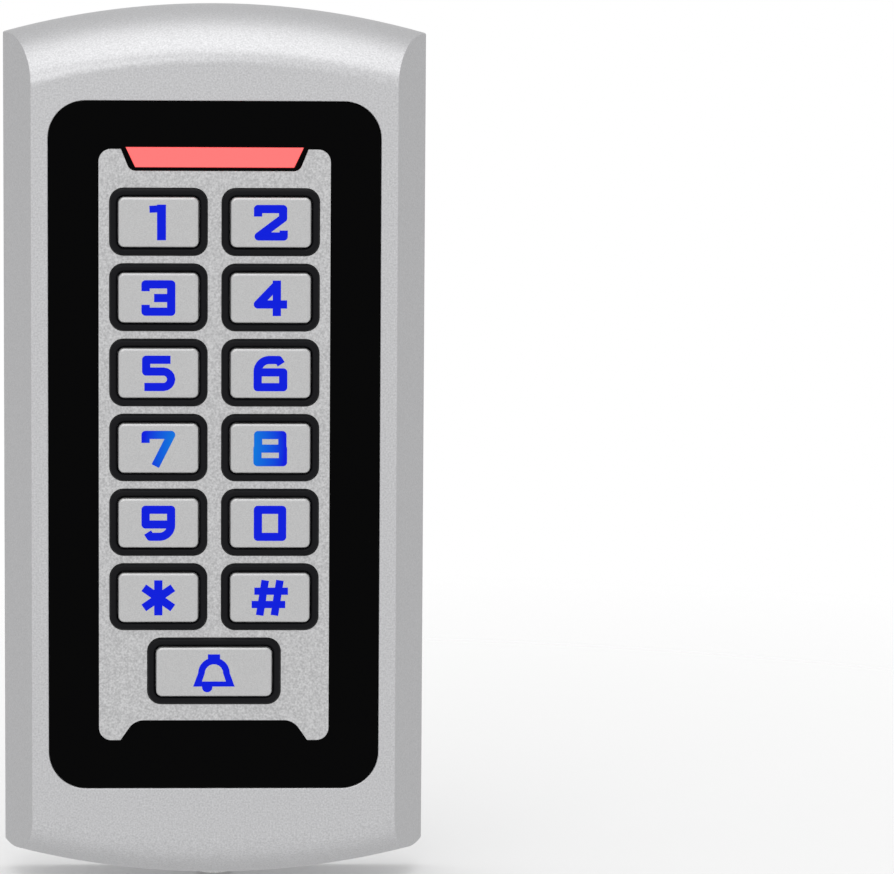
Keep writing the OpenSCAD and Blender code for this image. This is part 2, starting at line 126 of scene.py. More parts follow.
def smooth(piece, degrees=35):
    """Smooth shading in which large flat faces rule, so that rims don't cloud them."""
    make_active(piece)
    if piece.data.has_custom_normals:
        bpy.ops.mesh.customdata_custom_splitnormals_clear()
    bpy.ops.object.shade_smooth_by_angle(angle=math.radians(degrees))
    apply_modifier(piece, "WEIGHTED_NORMAL", mode="FACE_AREA", weight=100, keep_sharp=True)


# %% [markdown]
# A slab can be cut by other slabs. The cutters run past the face that they open, and they
# are thrown away afterwards. Rims get a small round with the Bevel modifier, set to work
# on sharp edges only, because a moulded or stamped edge always catches a line of light.

# %% Slabs, cuts and soft rims
def slab(name, width, height, corner, back, front, at=(0, 0), steps=8):
    """A rounded plate between two levels, its middle at a place on the wall."""
    deselect()
    bpy.ops.mesh.primitive_plane_add(size=1, rotation=(math.pi / 2, 0, 0),
                                     location=(at[0] * MM, -front * MM, at[1] * MM))
    piece = name_piece(bpy.context.object, name)
    piece.scale = (width * MM, height * MM, 1)
    bpy.ops.object.transform_apply(location=True, rotation=True, scale=True)
    bpy.ops.object.mode_set(mode="EDIT")
    bpy.ops.mesh.select_all(action="SELECT")
    if corner > 0:
        bpy.ops.mesh.bevel(offset=corner * MM, segments=steps, affect="VERTICES", profile=0.5)
    thicken(front - back)
    return piece


def thicken(depth):
    """In edit mode, extrudes the flat outline back towards the wall and closes it."""
    bpy.ops.mesh.select_all(action="SELECT")
    bpy.ops.mesh.extrude_region_move(TRANSFORM_OT_translate={"value": (0, depth * MM, 0)})
    bpy.ops.mesh.select_all(action="SELECT")
    bpy.ops.mesh.normals_make_consistent(inside=False)
    bpy.ops.object.mode_set(mode="OBJECT")


def round_edges(piece, test, radius, steps=6):
    """Rounds the edges whose middle passes a test."""
    make_active(piece)
    bpy.ops.object.mode_set(mode="EDIT")
    choose(piece, test, "EDGE")
    bpy.ops.mesh.bevel(offset=radius * MM, segments=steps, affect="EDGES", profile=0.5)
    bpy.ops.object.mode_set(mode="OBJECT")


def combine(piece, tools, operation="DIFFERENCE"):
    """Cuts a piece by some tools, or joins them to it, and throws the tools away."""
    for tool in tools:
        apply_modifier(piece, "BOOLEAN", operation=operation, solver="EXACT", object=tool)
        bpy.data.objects.remove(tool)
    return piece


def soften(piece, width, steps=3, degrees=30):
    apply_modifier(piece, "BEVEL", width=width * MM, segments=steps, limit_method="ANGLE",
                   angle_limit=math.radians(degrees), use_clamp_overlap=True)
    smooth(piece)
    return piece


def taper(piece, factor):
    """Makes a slab wider or narrower at its top edge."""
    low, high = mesh_box(piece)
    middle = (low.z + high.z) / 2 / MM
    make_active(piece)
    bpy.ops.object.mode_set(mode="EDIT")
    choose(piece, lambda p: p.z > middle)
    bpy.ops.transform.resize(value=(factor, 1, 1), center_override=(0, 0, 0))
    bpy.ops.object.mode_set(mode="OBJECT")


def mesh_box(piece):
    corners = [corner.co for corner in piece.data.vertices]
    low = Vector([min(c[i] for c in corners) for i in range(3)])
    high = Vector([max(c[i] for c in corners) for i in range(3)])
    return low, high


# %% [markdown]
# ## The camera and the studio
# The camera stands almost straight in front, a little above, with a long lens, and is
# turned slightly so that the reader keeps to the left of the frame. Soft light comes from
# one large box overhead and one in front. The surroundings are pale grey, a little darker
# above the horizon and behind the reader, and the camera itself sees them as plain white.

# %% Camera
lens_mm = 219.5
camera_side, camera_back, camera_up = -1.0, 906, 115.2
camera_down, camera_turn, camera_lean = 7.235, 2.478, -0.4

camera_data = bpy.data.cameras.new("long_lens")
camera_data.lens = lens_mm
camera_data.sensor_width = 36
camera_data.clip_start, camera_data.clip_end = 0.05, 50
camera = bpy.data.objects.new("camera", camera_data)
camera.location = (camera_side * MM, -camera_back * MM, camera_up * MM)
camera_turns = (90 - camera_down, camera_lean, -camera_turn)
camera.rotation_euler = [math.radians(turn) for turn in camera_turns]
bpy.context.scene.collection.objects.link(camera)
bpy.context.scene.camera = camera
print("camera", camera_back, "mm away, lens", lens_mm, "mm")

# %% Light
def softbox(name, size, power, place, target=(0, 0, 0)):
    light = bpy.data.lights.new(name, "AREA")
    light.shape = "RECTANGLE"
    light.size, light.size_y = size
    light.energy = power
    box = bpy.data.objects.new(name, light)
    box.location = place
    box.rotation_euler = (Vector(target) - Vector(place)).to_track_quat("-Z", "Y").to_euler()
    bpy.context.scene.collection.objects.link(box)


softbox("overhead_box", (0.9, 1.4), 3.3, (0, 0, 0.9))
softbox("front_box", (0.8, 0.5), 2, (-0.4, -1.3, 0.75))

world = bpy.data.worlds.new("studio")
bpy.context.scene.world = world
world.use_nodes = True
sky = world.node_tree
direction = sky.nodes.new("ShaderNodeTexCoord")
parts = sky.nodes.new("ShaderNodeSeparateXYZ")
sky.links.new(direction.outputs["Generated"], parts.inputs["Vector"])


def sky_ramp(source, shades):
    """Grey shades along one direction; each place runs from -1 to 1."""
    reach = sky.nodes.new("ShaderNodeMapRange")
    reach.inputs["From Min"].default_value = -1
    ramp = sky.nodes.new("ShaderNodeValToRGB")
    stops = ramp.color_ramp.elements
    while len(stops) < len(shades):
        stops.new(0.5)
    for stop, (place, shade) in zip(stops, shades):
        stop.position = (place + 1) / 2
        stop.color = (shade, shade, shade, 1)
    sky.links.new(parts.outputs[source], reach.inputs["Value"])
    sky.links.new(reach.outputs["Result"], ramp.inputs["Fac"])
    return ramp.outputs["Color"]


by_height = sky_ramp("Z", ((-1, 0.92), (-0.3, 0.92), (0, 0.90), (0.5, 0.80), (1, 0.90)))
by_depth = sky_ramp("Y", ((-0.2, 1.0), (0.9, 0.68)))
both = sky.nodes.new("ShaderNodeMix")
both.data_type = "RGBA"
both.blend_type = "MULTIPLY"
both.inputs["Factor"].default_value = 1
sky.links.new(by_height, both.inputs["A"])
sky.links.new(by_depth, both.inputs["B"])
seen = sky.nodes.new("ShaderNodeLightPath")
backdrop = sky.nodes.new("ShaderNodeMix")
backdrop.data_type = "RGBA"
backdrop.inputs["B"].default_value = (1, 1, 1, 1)
sky.links.new(both.outputs["Result"], backdrop.inputs["A"])
sky.links.new(seen.outputs["Is Camera Ray"], backdrop.inputs["Factor"])
sky.links.new(backdrop.outputs["Result"], sky.nodes["Background"].inputs["Color"])
bpy.context.scene.view_settings.view_transform = "Standard"

# %% Floor
floor_r, floor_forward, floor_drop = 0.6, 0.012, 0.0002
deselect()
bpy.ops.mesh.primitive_circle_add(vertices=96, radius=floor_r, fill_type="NGON",
                                  location=(0, -floor_forward, -body_h / 2 * MM - floor_drop))
floor = name_piece(bpy.context.object, "floor")
floor.visible_glossy = False
print("floor at", round(floor.location.z / MM, 1), "mm")

# %% [markdown]
# ## Finishes
# A finish is a small set of nodes on the Principled shader. Fine noise in object
# coordinates varies the colour a little and lifts the surface by a few thousandths of a
# millimetre, so light breaks up on it as it does on real paint or moulded plastic.

# %% Finish helpers
def finish(name, colour, roughness, metallic=0.0, **others):
    """A new material; the numbers that are the same all over sit on the shader itself."""
    material = bpy.data.materials.new(name)
    material.use_nodes = True
    shader = material.node_tree.nodes["Principled BSDF"]
    shader.inputs["Base Color"].default_value = (*colour, 1)
    shader.inputs["Roughness"].default_value = roughness
    shader.inputs["Metallic"].default_value = metallic
    for socket, value in others.items():
        shader.inputs[socket.replace("_", " ")].default_value = value
    return material


def add_node(material, kind, **inputs):
    node = material.node_tree.nodes.new(kind)
    for socket, value in inputs.items():
        node.inputs[socket.replace("_", " ")].default_value = value
    return node


def link(material, source, target):
    material.node_tree.links.new(source, target)


def shader_of(material):
    return material.node_tree.nodes["Principled BSDF"]


def speckle(material, grain):
    """Noise whose grains are a given size in millimetres."""
    place = add_node(material, "ShaderNodeTexCoord")
    noise = add_node(material, "ShaderNodeTexNoise", Scale=1 / (grain * MM), Detail=2)
    link(material, place.outputs["Object"], noise.inputs["Vector"])
    return noise.outputs["Fac"]


def set_stops(ramp, *stops):
    """Gives a colour ramp its two places and colours."""
    for element, (place, colour) in zip(ramp.color_ramp.elements, stops):
        element.position = place
        element.color = (*colour, 1)


def vary_colour(material, value, dark, light):
    ramp = add_node(material, "ShaderNodeValToRGB")
    set_stops(ramp, (0.3, dark), (0.7, light))
    link(material, value, ramp.inputs["Fac"])
    link(material, ramp.outputs["Color"], shader_of(material).inputs["Base Color"])


def vary_roughness(material, value, low, high):
    span = add_node(material, "ShaderNodeMapRange", To_Min=low, To_Max=high)
    link(material, value, span.inputs["Value"])
    link(material, span.outputs["Result"], shader_of(material).inputs["Roughness"])


def lift(material, value, depth, strength=0.5):
    """Bump of a given depth in millimetres."""
    bump = add_node(material, "ShaderNodeBump", Strength=strength, Distance=depth * MM)
    link(material, value, bump.inputs["Height"])
    link(material, bump.outputs["Normal"], shader_of(material).inputs["Normal"])


def grey(value, blue=0.0):
    return (value, value, value + blue)


# %% [markdown]
# Silver paint is aluminium flake in lacquer: mostly metallic, with grains up to a third of a
# millimetre across that show as light and dark specks. The same recipe, with other numbers,
# serves for the body, the key plate, the key caps and the steel plate at the back.

# %% Silver finishes
def silver(name, dark, light, roughness, grain=0.28, depth=0.004, metallic=0.85):
    material = finish(name, light, roughness, metallic)
    fine = speckle(material, grain)
    vary_colour(material, fine, dark, light)
    vary_roughness(material, speckle(material, grain * 4), roughness - 0.05, roughness + 0.05)
    lift(material, fine, depth)
    return material


body_silver = silver("body_silver", grey(0.50, 0.01), grey(0.66, 0.012), 0.42)
plate_silver = silver("key_plate_silver", grey(0.45, 0.006), grey(0.68, 0.006), 0.38, grain=0.32)
cap_silver = silver("cap_satin", grey(0.50, 0.003), grey(0.62, 0.001), 0.36, grain=0.16, depth=0.002)
steel_silver = silver("wall_plate_silver", grey(0.65, 0.02), grey(0.82, 0.025), 0.45, grain=0.35)

# %% [markdown]
# The black window is polished plastic, the beads round the keys are a softer black rubber,
# and the lamps are lit from inside, so their colour is given off as well as reflected.

# %% Black and lit finishes
window_black = finish("window_black", (0.0004, 0.0004, 0.0005), 0.08, Specular_IOR_Level=0.035)
vary_roughness(window_black, speckle(window_black, 1.5), 0.06, 0.10)
lift(window_black, speckle(window_black, 6.0), 0.01, 0.15)

bead_rubber = finish("bead_rubber", (0.003, 0.003, 0.0045), 0.34, Specular_IOR_Level=0.14)
vary_roughness(bead_rubber, speckle(bead_rubber, 0.4), 0.28, 0.40)
lift(bead_rubber, speckle(bead_rubber, 0.15), 0.003, 0.4)

legend_blue = finish("legend_blue", (0.001, 0.004, 0.22), 0.35, Specular_IOR_Level=0.05,
                     Emission_Strength=0.75)
lens_red = finish("lens_red", (0.9, 0.07, 0.07), 0.22, Emission_Strength=0.72)
shader_of(lens_red).inputs["Emission Color"].default_value = (1.0, 0.145, 0.14, 1)

# %% Lamp glow in the legends
lamp_reach = 12
lamp_up = sum(corner.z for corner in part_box("key_7")) / 2
spot = add_node(legend_blue, "ShaderNodeTexCoord")
from_lamp = add_node(legend_blue, "ShaderNodeVectorMath")
from_lamp.operation = "SUBTRACT"
from_lamp.inputs[1].default_value = (0, -cap_face * MM, lamp_up)
shrink = add_node(legend_blue, "ShaderNodeVectorMath")
shrink.operation = "SCALE"
shrink.inputs["Scale"].default_value = 1 / (lamp_reach * MM)
near_lamp = add_node(legend_blue, "ShaderNodeTexGradient")
near_lamp.gradient_type = "SPHERICAL"
blue_shades = add_node(legend_blue, "ShaderNodeValToRGB")
set_stops(blue_shades, (0.04, (0.003, 0.012, 0.66)), (0.48, (0.004, 0.25, 0.66)))
link(legend_blue, spot.outputs["Object"], from_lamp.inputs[0])
link(legend_blue, from_lamp.outputs["Vector"], shrink.inputs[0])
link(legend_blue, shrink.outputs["Vector"], near_lamp.inputs["Vector"])
link(legend_blue, near_lamp.outputs["Fac"], blue_shades.inputs["Fac"])
link(legend_blue, blue_shades.outputs["Color"], shader_of(legend_blue).inputs["Emission Color"])


def dress(piece, material):
    piece.data.materials.clear()
    piece.data.materials.append(material)


# %% [markdown]
# ## The shell's form
# The outline against the wall is a rectangle whose top and bottom are arcs of one large
# radius. A big disc gives the arc; bisect trims it to the width and to its upper half; a
# mirrored copy gives the lower half. The form then grows by extruding the outline out from
# the wall in short steps. At each step the sides draw in along a straight slope and the
# ends draw in along a quarter ellipse, so the ends roll over softly into the front.

# %% Shell driving sizes
end_radius = 130
end_roll = 8.9
side_slope = 5.2
straight_land = 2.5
shell_wall = 2.4
roll_steps = 16


def half_width(level, inset=0):
    run = max(0, level - straight_land) / (shell_front - straight_land)
    return body_w / 2 - inset - side_slope * run


def roll_in(level):
    run = max(0, level - straight_land) / (shell_front - straight_land)
    return end_roll * (1 - math.sqrt(max(0, 1 - run * run)))


def end_sag(level, inset):
    """How much lower an end is at its corners than in its middle."""
    radius = end_radius - inset - roll_in(level)
    return radius - math.sqrt(radius * radius - half_width(level, inset) ** 2)


# %% The outline against the wall
def wall_outline(name, inset, level):
    """Leaves a flat outline in edit mode, with all of it selected."""
    centre_z = body_h / 2 - end_radius
    deselect()
    bpy.ops.mesh.primitive_circle_add(vertices=300, radius=(end_radius - inset) * MM,
                                      fill_type="NGON", rotation=(math.pi / 2, 0, 0),
                                      location=(0, -level * MM, centre_z * MM))
    piece = name_piece(bpy.context.object, name)
    bpy.ops.object.transform_apply(location=True, rotation=True, scale=True)
    bpy.ops.object.mode_set(mode="EDIT")
    side = (body_w / 2 - inset) * MM
    for place, normal in (((-side, 0, 0), (-1, 0, 0)), ((side, 0, 0), (1, 0, 0)),
                          ((0, 0, 0), (0, 0, -1))):
        bpy.ops.mesh.select_all(action="SELECT")
        bpy.ops.mesh.bisect(plane_co=place, plane_no=normal, clear_outer=True)
    bpy.ops.mesh.select_all(action="SELECT")
    bpy.ops.mesh.duplicate()
    bpy.ops.transform.resize(value=(1, 1, -1), center_override=(0, 0, 0))
    bpy.ops.mesh.select_all(action="SELECT")
    bpy.ops.mesh.remove_doubles(threshold=0.001 * MM)
    bpy.ops.mesh.dissolve_limited(angle_limit=math.radians(0.1))
    bpy.ops.mesh.select_all(action="SELECT")
    return piece


# %% Growing the form out from the wall
def step_out(piece, inset, now, then):
    """Extrudes the outermost face from one level to the next and draws it in."""
    bpy.ops.mesh.extrude_region_move(TRANSFORM_OT_translate={"value": (0, (now - then) * MM, 0)})
    narrower = half_width(then, inset) / half_width(now, inset)
    bpy.ops.transform.resize(value=(narrower, 1, 1), center_override=(0, 0, 0))
    flatter = end_sag(then, inset) / end_sag(now, inset)
    drop = roll_in(then) - roll_in(now)
    top = (body_h / 2 - inset - roll_in(now)) * MM
    for end in (1, -1):
        choose(piece, lambda p: p.z * end > 0 and p.y < 0.001 - then)
        bpy.ops.transform.resize(value=(1, 1, flatter), center_override=(0, 0, end * top))
        bpy.ops.transform.translate(value=(0, 0, -end * drop * MM))
    bpy.ops.mesh.select_mode(type="FACE")
    choose(piece, lambda p: p.y < 0.001 - then, "FACE")


def roll_levels(last_level):
    """Levels that divide the rolled end into even turns."""
    full = math.asin((last_level - straight_land) / (shell_front - straight_land))
    turns = [full * i / roll_steps for i in range(roll_steps + 1)]
    return [straight_land + (shell_front - straight_land) * math.sin(turn) for turn in turns]


def rolled_form(name, inset, last_level):
    piece = wall_outline(name, inset, 0)
    levels = [0] + roll_levels(last_level)
    for now, then in zip(levels, levels[1:]):
        step_out(piece, inset, now, then)
    bpy.ops.mesh.select_all(action="SELECT")
    bpy.ops.mesh.normals_make_consistent(inside=False)
    bpy.ops.object.mode_set(mode="OBJECT")
    return piece


shell = rolled_form("cast_shell", 0, shell_front)
print("shell form:", [round(x / MM, 2) for x in mesh_box(shell)[0]],
      len(shell.data.polygons), "faces")

# %% [markdown]
# ## The shell's edges, hollow and openings
# The long edges are rounded first, while the mesh is still a clean grid. The hollow is a
# second, smaller form of the same kind, and it is cut away together with the seat for the
# wall plate. The window, four screw posts and the stepped hole for the security screw follow.
# The hooks' tongues simply run into the wall, where nobody sees them.

# %% Shell edges
shell_round = 0.45
soften(shell, shell_round, steps=3, degrees=35)

# %% Shell hollow
gasket_front = level_of("rear_gasket", 1)
front_wall_back = 21.5
rim = 0.75
hollow = rolled_form("hollow", shell_wall, front_wall_back)
seat = wall_outline("seat", rim, gasket_front)
thicken(gasket_front + 1)
combine(shell, [hollow, seat])
print("hollow cut:", len(shell.data.polygons), "faces")

# %% Shell window
window_w, window_h, window_up = 53.8, 112.8, 1.3
window_r, fit, opening_round = 6, 0.1, 0.22
combine(shell, [slab("window", window_w + 2 * fit, window_h + 2 * fit, window_r + fit,
                     front_wall_back - 1, shell_front + 1, (0, window_up), steps=14)])
round_edges(shell, lambda p: abs(p.y + shell_front) < 0.01 and abs(p.x) < window_w / 2 + 0.2
            and abs(p.z - window_up) < window_h / 2 + 0.2, opening_round, steps=3)
smooth(shell)

# %% Shell posts and screw hole
lock_screw_out = 6.5
post_r, pilot_r, pilot_depth = 2.4, 1.15, 8
head_way_r, head_way_depth = 2.9, 1.4
thread_way_r, thread_way_depth = 1.6, 5
cover_front = level_of("inner_cover", 1)
post_places = [(x, z) for x in (-20, 20) for z in (-61.8, 61.8)]


def post(name, radius, back, front, at, sides=32):
    """A round bar that points out from the wall."""
    deselect()
    bpy.ops.mesh.primitive_cylinder_add(vertices=sides, radius=radius * MM,
                                        depth=(front - back) * MM, rotation=(math.pi / 2, 0, 0),
                                        location=(at[0] * MM, -(front + back) / 2 * MM, at[1] * MM))
    piece = name_piece(bpy.context.object, name)
    bpy.ops.object.transform_apply(location=True, rotation=True, scale=True)
    return piece


def upright(name, radius, low, high, sides):
    """A round bar that points up, in line with the security screw."""
    deselect()
    bpy.ops.mesh.primitive_cylinder_add(vertices=sides, radius=radius * MM, depth=(high - low) * MM,
                                        location=(0, -lock_screw_out * MM, (low + high) / 2 * MM))
    piece = name_piece(bpy.context.object, name)
    bpy.ops.object.transform_apply(location=True, rotation=True, scale=True)
    return piece


combine(shell, [post("post", post_r, cover_front, front_wall_back + 0.4, at) for at in post_places],
        "UNION")
combine(shell, [post("pilot", pilot_r, cover_front - 1, cover_front + pilot_depth, at, 24)
                for at in post_places])
bore_sizes = ((head_way_r, head_way_depth), (thread_way_r, thread_way_depth))
combine(shell, [upright("bore", radius, -body_h / 2 - depth, -body_h / 2 + depth, 48)
                for radius, depth in bore_sizes])
smooth(shell)
dress(shell, body_silver)
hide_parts("front_shell")
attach(shell, "reader")
print("shell:", len(shell.data.polygons), "faces")

# %% [markdown]
# ## The black window panel
# It fills the shell's opening, flush with the front, with a shallow seat for the key plate
# and openings for the key guide and the light bar.

# %% Key plate outline
bar_top_w, bar_bottom_w, bar_h, bar_gap = 28.8, 25.7, 3.2, 0.6
notch_mouth_w, notch_floor_w, notch_h = 31, 26, 3.3
plate_corner, top_notch_corner, bottom_notch_corner = 2, 0.9, 1.4
plate_top, plate_bottom = plate_up + plate_h / 2, plate_up - plate_h / 2
bar_up = plate_top - bar_h / 2 + 0.25
bar_floor = bar_up - bar_h / 2 - bar_gap


def trapezium(name, top_w, bottom_w, low, high, corner, back, front):
    """A slab with sloping ends. The narrow edge keeps rounded corners."""
    piece = slab(name, bottom_w, high - low, 0, back, front, (0, (low + high) / 2))
    taper(piece, top_w / bottom_w)
    if corner > 0:
        edge = high if top_w < bottom_w else low
        round_edges(piece, lambda p: abs(p.z - edge) < 0.01 and abs(p.x) > 1
                    and abs(p.y + (back + front) / 2) < 0.01, corner)
    return piece


def plate_blank(name, grow, back, front):
    """The key plate's outline with its two notches, drawn out all round."""
    piece = slab(name, plate_w + 2 * grow, plate_h + 2 * grow, plate_corner + grow, back, front,
                 (0, plate_up))
    above = trapezium("notch", bar_top_w + 4 * bar_gap - 2 * grow,
                      bar_bottom_w + 3 * bar_gap - 2 * grow, bar_floor + grow,
                      plate_top + 1 + grow, top_notch_corner, back - 1, front + 1)
    below = trapezium("notch", notch_floor_w - 2 * grow, notch_mouth_w + 1 - 2 * grow,
                      plate_bottom - 1 - grow, plate_bottom + notch_h - grow,
                      bottom_notch_corner, back - 1, front + 1)
    return combine(piece, [above, below])


# %% Window panel
guide_w, guide_h, guide_up = span_of("key_guide")
flange_lap, panel_round = 1, 0.18
bar_fit = fit / 2
bezel = slab("black_window", window_w, window_h, window_r, bezel_back, bezel_face,
             (0, window_up), steps=14)
soften(bezel, panel_round, steps=2)
flange = slab("flange", window_w + 2 * flange_lap, window_h + 2 * flange_lap,
              window_r + flange_lap, bezel_back, front_wall_back, (0, window_up), steps=14)
combine(bezel, [flange], "UNION")
combine(bezel, [slab("guide_way", guide_w + 2 * fit, guide_h + 2 * fit, 1 + fit, bezel_back - 1,
                     bezel_face + 1, (0, guide_up)),
                plate_blank("seat", fit, plate_seat, bezel_face + 1),
                trapezium("bar_way", bar_top_w + 2 * bar_fit, bar_bottom_w + 2 * bar_fit,
                          bar_up - bar_h / 2 - bar_fit, bar_up + bar_h / 2 + bar_fit, 0,
                          bezel_back - 1, bezel_face + 1)])
smooth(bezel)
dress(bezel, window_black)
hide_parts("black_bezel")
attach(bezel, "reader")
print("window panel:", len(bezel.data.polygons), "faces")

# %% [markdown]
# ## Where the keys are
# Two columns of six keys and one wide key below them. Their places come from the frame:
# each key's own box says where its middle is and how wide it is.

# %% Key places
key_names = ["1", "2", "3", "4", "5", "6", "7", "8", "9", "0", "star", "hash", "bell"]
flange_out, cap_gap, bead_w, bead_r, cap_r = 0.7, 0.12, 1.22, 2.2, 1.0
way_r = cap_r + 0.2
plate_round, bead_round, cap_round = 0.22, 0.52, 0.5


def key_place(name):
    """Middle, and the cap's width and height, of one key."""
    low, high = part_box("key_" + name)
    middle = ((low.x + high.x) / 2 / MM, (low.z + high.z) / 2 / MM)
    return middle, (high.x - low.x) / MM - 2 * flange_out, (high.z - low.z) / MM - 2 * flange_out


places = {name: key_place(name) for name in key_names}
print("first key:", [round(x, 2) for x in places["1"][0]], "wide key:", round(places["bell"][1], 2))

# %% [markdown]
# ## The key plate
# A thick silver plate with a notch at each end and a hole for every key. The rims are
# rounded about a fifth of a millimetre, which gives each hole its bright ring.

# %% Key plate
def ring_size(name, grow):
    """The width and height of one key's bead, drawn out all round."""
    _, width, height = places[name]
    return width + 2 * (cap_gap + bead_w + grow), height + 2 * (cap_gap + bead_w + grow)


key_plate = plate_blank("key_plate_face", 0, plate_seat, plate_face)
for name in key_names:
    hole_w, hole_h = ring_size(name, fit)
    combine(key_plate, [slab("hole", hole_w, hole_h, bead_r + fit, plate_seat - 1, plate_face + 1,
                             places[name][0])])
soften(key_plate, plate_round)
dress(key_plate, plate_silver)
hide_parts("key_plate")
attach(key_plate, "reader")
print("key plate:", len(key_plate.data.polygons), "faces")

# %% [markdown]
# ## The beads round the keys
# A black moulded sheet lies behind the plate, and a rounded bead rises from it round every
# key. Each bead is a slab with the key's opening cut through it; its front edges are then
# rounded so far that the bead is almost half a circle across.

# %% Beads
def bead(name):
    middle, width, height = places[name]
    outer_w, outer_h = ring_size(name, 0)
    piece = slab("bead_" + name, outer_w, outer_h, bead_r, bead_back, bead_face, middle, steps=10)
    combine(piece, [slab("way", width + 2 * cap_gap, height + 2 * cap_gap, way_r,
                         bead_back - 1, bead_face + 1, middle, steps=10)])
    return soften(piece, bead_round, steps=6)


guide = slab("key_guide_mould", guide_w, guide_h, 1, bead_back, plate_seat, (0, guide_up))
for name in key_names:
    combine(guide, [bead(name)], "UNION")
    middle, width, height = places[name]
    combine(guide, [slab("way", width + 2 * cap_gap - 0.002, height + 2 * cap_gap - 0.002,
                         way_r, bead_back - 1, plate_seat + 0.3, middle, steps=10)])
smooth(guide)
dress(guide, bead_rubber)
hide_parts("key_guide")
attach(guide, "reader")
print("key guide:", len(guide.data.polygons), "faces")

# %% [markdown]
# ## The key caps
# A cap is a rounded block with a flange behind it that stops it from falling out. Its
# front edge has a round of half a millimetre for the finger. The figure is a separate
# inlay from the frame, so the cap gets a pocket of the same outline, cut with a copy of it.

# %% Key caps
flange_front = 20.85


def pocket_tool(name):
    """A merged copy of the inlay, its front pushed out past the cap's face."""
    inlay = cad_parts["legend_" + name]
    tool = bpy.data.objects.new("pocket", inlay.data.copy())
    bpy.context.scene.collection.objects.link(tool)
    make_active(tool)
    bpy.ops.object.mode_set(mode="EDIT")
    bpy.ops.mesh.select_all(action="SELECT")
    bpy.ops.mesh.remove_doubles(threshold=0.002 * MM)
    choose(tool, lambda p: p.y < 0.1 - cap_face)
    bpy.ops.transform.translate(value=(0, -1 * MM, 0))
    bpy.ops.object.mode_set(mode="OBJECT")
    return tool


def key_cap(name):
    middle, width, height = places[name]
    cap = slab("cap_" + name, width, height, cap_r, cap_back, cap_face, middle)
    round_edges(cap, lambda p: p.y < 0.01 - cap_face, cap_round)
    stop = slab("stop", width + 2 * flange_out, height + 2 * flange_out, cap_r, cap_back,
                flange_front, middle)
    combine(cap, [stop], "UNION")
    combine(cap, [pocket_tool(name)])
    smooth(cap)
    dress(cap, cap_silver)
    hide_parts("key_" + name)
    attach(cap, "button_" + name)
    return cap


caps = [key_cap(name) for name in key_names]
print("caps:", len(caps), "faces each about", len(caps[0].data.polygons))

# %% [markdown]
# ## The light bar
# A red lens with sloping ends sits in the plate's upper notch. A light pipe behind it
# reaches back to the lamps, so it glows evenly from end to end.

# %% Light bar
pipe_back, bar_face = level_of("light_bar", 0), level_of("light_bar", 1)
lens_back, pipe_front, lens_flange_front = 20.1, 20.5, 21.2
lens_lap, lens_round = 0.5, 0.15
lens = trapezium("light_bar_lens", bar_top_w, bar_bottom_w, bar_up - bar_h / 2, bar_up + bar_h / 2,
                 0, lens_back, bar_face)
soften(lens, lens_round, steps=2)
combine(lens, [trapezium("lens_flange", bar_top_w + 2 * lens_lap, bar_bottom_w + 2 * lens_lap,
                         bar_up - bar_h / 2 - lens_lap, bar_up + bar_h / 2 + lens_lap, 0,
                         lens_back, lens_flange_front),
               slab("light_pipe", bar_bottom_w - 4, bar_h - 1, 0, pipe_back, pipe_front,
                    (0, bar_up))], "UNION")
smooth(lens)
dress(lens, lens_red)
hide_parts("light_bar")
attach(lens, "reader")
print("lens:", len(lens.data.polygons), "faces")

# %% [markdown]
# ## The wall plate
# Stamped steel, 1.5 mm thick, with the body's own outline. The edges of its holes are
# rounded, and the cable hole opens out at the back on a short slope that guides the cable in
# and shows as a bright rim. Two hooks at the top and a tab at the bottom hold the shell.

# %% Wall plate
steel = 1.5
peep_down, top_slot_up, bottom_slot_down = 44.1, 51.1, 55.9
slot_w, slot_len, cable_r, peep_r = 4.3, 8.1, 5.2, 1.85
cable_rim, plate_edge_round = 0.6, 0.3
catch_t, catch_round, catch_back = 1.5, 0.3, steel - 0.5
hook_w, hook_side, hook_drop, hook_front = 8, 12, 4.35, 4.9
tongue_h, tongue_drop, tongue_back = 2.9, 3.65, 3.4
tab_w, tab_rise, tab_front = 12, 4.05, 9.5
label_corner = 1.5
label_recess = level_of("rear_label", 1)
label_w, label_h, label_up = span_of("rear_label")

wall_plate = wall_outline("wall_plate", rim + fit, steel)
thicken(steel)
combine(wall_plate, [
    post("cable_way", cable_r, -1, steel + 1, (0, 0), 72),
    post("peep_way", peep_r, -1, steel + 1, (0, -peep_down), 40),
    slab("top_way", slot_w, slot_len, slot_w / 2 - 0.001, -1, steel + 1, (0, top_slot_up),
         steps=14),
    slab("bottom_way", slot_len, slot_w, slot_w / 2 - 0.001, -1, steel + 1, (0, -bottom_slot_down),
         steps=14)])
bpy.ops.mesh.primitive_cone_add(vertices=72, radius1=(cable_r + 2 * cable_rim) * MM,
                                radius2=cable_r * MM, depth=2 * cable_rim * MM,
                                location=(0, 0, 0), rotation=(math.pi / 2, 0, 0))
combine(wall_plate, [name_piece(bpy.context.object, "cable_slope")])
soften(wall_plate, plate_edge_round, degrees=40)
combine(wall_plate, [slab("label_seat", label_w + 2 * fit, label_h + 2 * fit, label_corner + fit,
                          -1, label_recess, (0, label_up))])
for side in (-1, 1):
    hook = slab("hook", hook_w, catch_t, catch_round, catch_back, hook_front,
                (side * hook_side, body_h / 2 - hook_drop), steps=2)
    tongue = slab("tongue", hook_w, tongue_h, catch_round, tongue_back, hook_front,
                  (side * hook_side, body_h / 2 - tongue_drop), steps=2)
    combine(wall_plate, [hook, tongue], "UNION")
tab = slab("tab", tab_w, catch_t, catch_round, catch_back, tab_front,
           (0, tab_rise - body_h / 2), steps=2)
combine(wall_plate, [tab], "UNION")
smooth(wall_plate)
